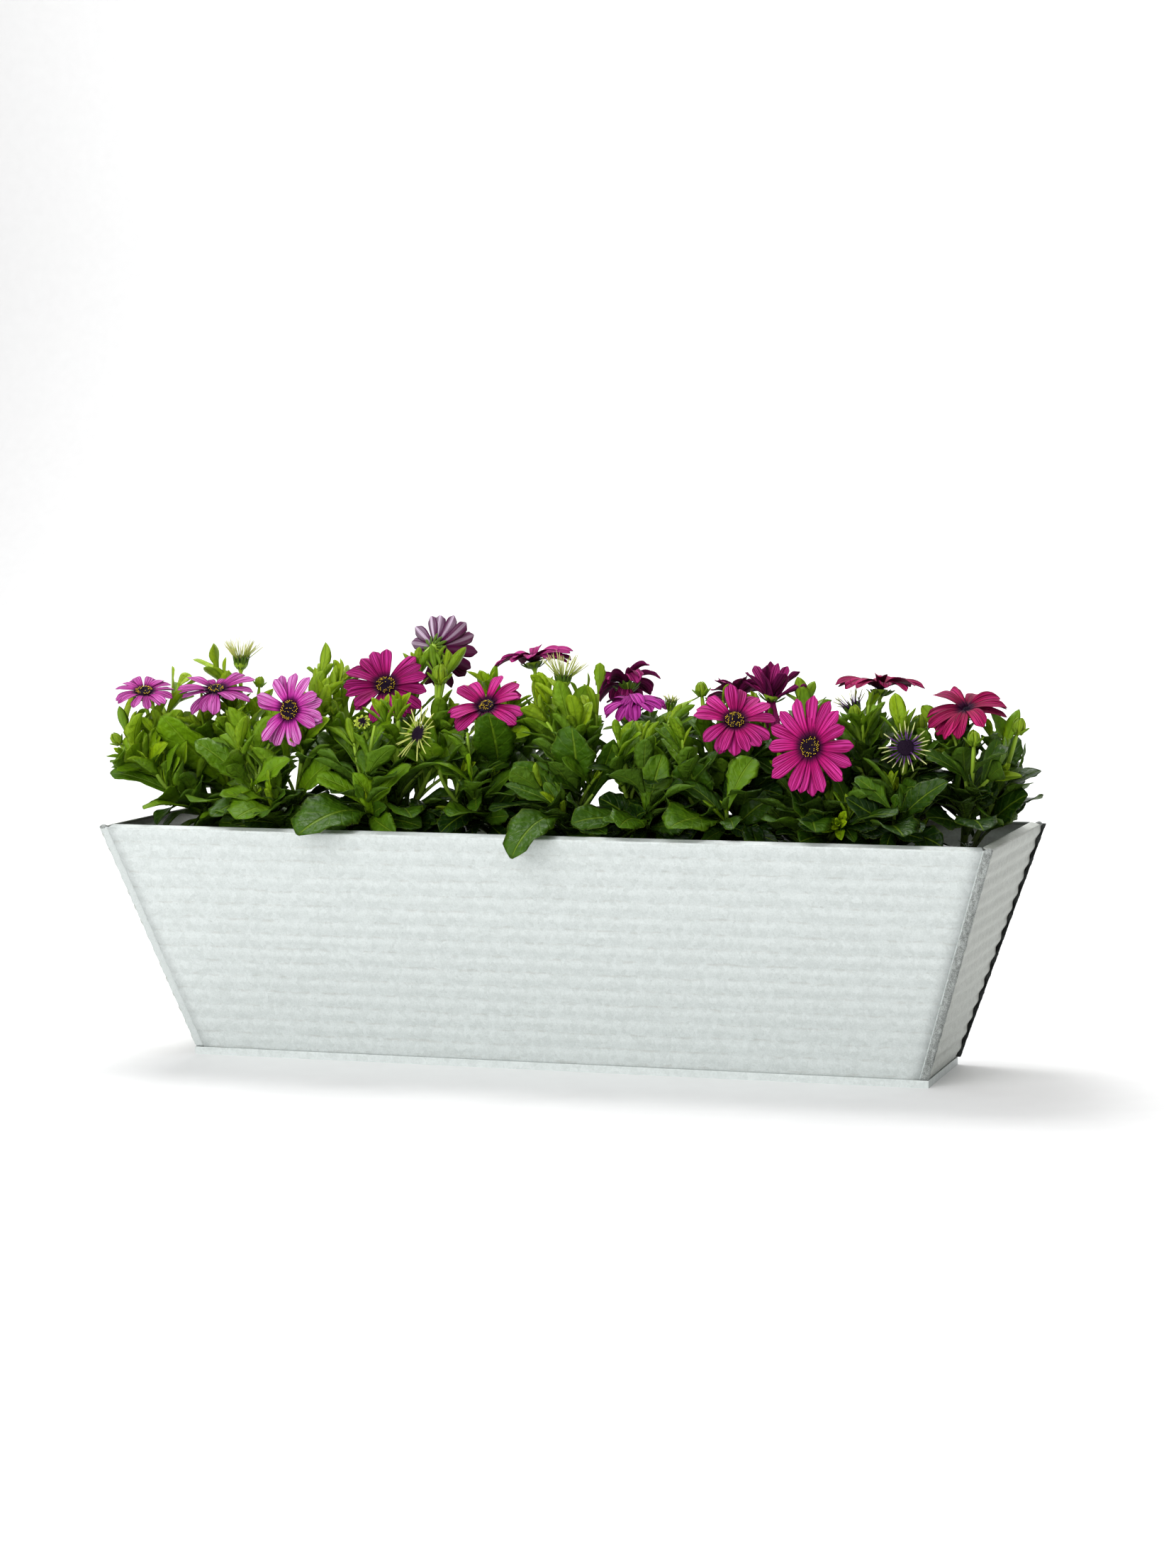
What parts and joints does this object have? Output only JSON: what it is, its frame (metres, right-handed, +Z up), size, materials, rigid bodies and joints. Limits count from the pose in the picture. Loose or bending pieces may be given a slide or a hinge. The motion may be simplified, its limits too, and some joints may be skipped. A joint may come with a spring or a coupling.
{
  "type": "osteospermum in window box",
  "caption": "Flowering osteospermum plants in potting soil, in a tapered window box of ribbed galvanised sheet with folded seams and a turned-in rim.",
  "frame": {"origin": "centre of the box's underside", "axes": "+X along the box's length, towards the end that the picture shows; +Y to the back; +Z up"},
  "size_m": [0.654, 0.2121, 0.3023],
  "materials": {
    "zinc": "matt galvanised, fine mottled spangle",
    "soil": "dark, crumbly, matt",
    "foliage": "semi-gloss leaves, lime green at the tips",
    "petal_orchid": "satin, finely striped",
    "petal_magenta": "satin, finely striped",
    "petal_crimson": "satin, dark underside",
    "petal_pale": "satin underside with purple stripes",
    "disc": "dark florets with yellow pollen",
    "withered": "matt, pale yellow-green",
    "spent_disc": "dark, matt"
  },
  "bodies": {
    "root": {"back_panel": "zinc", "base_pan": "zinc", "bloom_01_disc": "disc", "bloom_01_petals": "petal_orchid", "bloom_02_disc": "disc", "bloom_02_petals": "petal_orchid", "bloom_03_disc": "disc", "bloom_03_petals": "petal_orchid", "bloom_04_disc": "disc", "bloom_04_petals": "petal_crimson", "bloom_05_disc": "disc", "bloom_05_petals": "petal_pale", "bloom_06_disc": "disc", "bloom_06_petals": "petal_magenta", "bloom_07_disc": "disc", "bloom_07_petals": "petal_crimson", "bloom_08_disc": "disc", "bloom_08_petals": "petal_crimson", "bloom_09_disc": "disc", "bloom_09_petals": "petal_orchid", "bloom_10_disc": "disc", "bloom_10_petals": "petal_magenta", "bloom_11_disc": "disc", "bloom_11_petals": "petal_crimson", "bloom_12_disc": "disc", "bloom_12_petals": "petal_crimson", "bloom_13_disc": "disc", "bloom_13_petals": "petal_magenta", "bloom_14_disc": "disc", "bloom_14_petals": "petal_crimson", "bloom_15_disc": "disc", "bloom_15_petals": "petal_crimson", "end_panel_left": "zinc", "end_panel_right": "zinc", "front_panel": "zinc", "plant_01_foliage": "foliage", "plant_02_foliage": "foliage", "plant_03_foliage": "foliage", "plant_04_foliage": "foliage", "plant_05_foliage": "foliage", "plant_06_foliage": "foliage", "plant_07_foliage": "foliage", "plant_08_foliage": "foliage", "plant_09_foliage": "foliage", "plant_10_foliage": "foliage", "soil": "soil", "spent_01_disc": "spent_disc", "spent_01_threads": "withered", "spent_02_disc": "spent_disc", "spent_02_threads": "withered", "spent_03_disc": "spent_disc", "spent_03_threads": "withered", "spent_04_disc": "spent_disc", "spent_04_threads": "withered", "spent_05_disc": "spent_disc", "spent_05_threads": "withered", "spent_06_disc": "spent_disc", "spent_06_threads": "withered", "spent_07_disc": "spent_disc", "spent_07_threads": "withered"}
  },
  "joints": []
}
